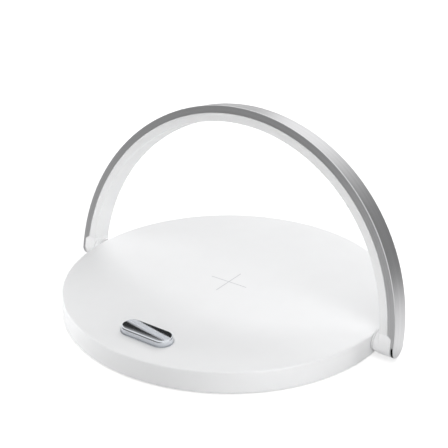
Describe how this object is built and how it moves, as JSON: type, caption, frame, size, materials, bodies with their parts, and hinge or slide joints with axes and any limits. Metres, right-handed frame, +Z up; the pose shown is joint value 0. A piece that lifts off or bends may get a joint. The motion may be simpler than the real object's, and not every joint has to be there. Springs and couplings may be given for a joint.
{
  "type": "wireless charging stand",
  "caption": "Round wireless charging base with a folding half-ring lamp arm to lean a device on and a pop-up stop bar at the front.",
  "frame": {"origin": "middle of the disc base, on the surface that its feet stand on", "axes": "+X along the arm's hinge axis, +Y to the back where the power inlet is and the arm leans, +Z up"},
  "size_m": [0.2, 0.176, 0.1055],
  "materials": {
    "shell_white": "satin",
    "cover_white": "fine texture",
    "foot_rubber": "matte",
    "screw_steel": "plated",
    "ballast_steel": "zinc plated",
    "tray_grey": "moulded",
    "ferrite_black": "sintered, matte",
    "coil_copper": "enamelled wire",
    "lead_red": "smooth",
    "lead_white": "smooth",
    "board_green": "solder mask",
    "chip_black": "moulded",
    "inlet_steel": "plated",
    "spring_brass": "drawn wire",
    "mark_grey": "printed",
    "bearing_zinc": "die cast",
    "shaft_steel": "ground",
    "spacer_grey": "moulded",
    "washer_bronze": "ground",
    "guide_white": "moulded",
    "spring_steel": "drawn wire",
    "latch_blue": "moulded",
    "bar_chrome": "mirror polish",
    "carrier_grey": "moulded",
    "band_aluminium": "satin, brushed along its length",
    "lining_opal": "opal, satin",
    "strip_white": "solder mask",
    "chip_phosphor": "phosphor resin",
    "cap_white": "satin"
  },
  "bodies": {
    "base": {"top_cover": "shell_white", "bottom_cover": "cover_white", "rubber_feet": "foot_rubber", "cover_screws": "screw_steel", "ballast_plate": "ballast_steel", "coil_tray": "tray_grey", "ferrite_disc": "ferrite_black", "charging_coil": "coil_copper", "coil_leads": "lead_red", "main_board": "board_green", "board_parts": "chip_black", "usb_socket": "inlet_steel", "touch_spring": "spring_brass", "charge_mark": "mark_grey", "hinge_bracket_left": "bearing_zinc", "hinge_bracket_right": "bearing_zinc", "bracket_screws": "screw_steel", "lamp_lead": "lead_white", "stop_guide": "guide_white", "stop_springs": "spring_steel", "stop_latch": "latch_blue"},
    "arm": {"arc_band": "band_aluminium", "arc_diffuser": "lining_opal", "led_strip": "strip_white", "led_chips": "chip_phosphor", "end_cap_left": "cap_white", "end_cap_right": "cap_white", "hinge_shaft_left": "shaft_steel", "hinge_shaft_right": "shaft_steel", "spacer_washers": "spacer_grey", "friction_washers": "washer_bronze", "shaft_nuts": "shaft_steel", "strip_lead": "lead_white"},
    "stop": {"stop_bar": "bar_chrome", "stop_carrier": "carrier_grey"}
  },
  "joints": [
    {"name": "arm_fold", "type": "hinge", "parent": "base", "child": "arm", "pos_m": [0, 0, 0.0072], "axis": [1, 0, 0], "range_deg": [-80.2, 99.8]},
    {"name": "stop_press", "type": "slide", "parent": "base", "child": "stop", "axis": [0, 0, 1], "range_m": [-0.0029, 0], "stiffness_N_per_m": 300, "springref_m": 0.0035, "deforming": ["stop_springs"]}
  ]
}
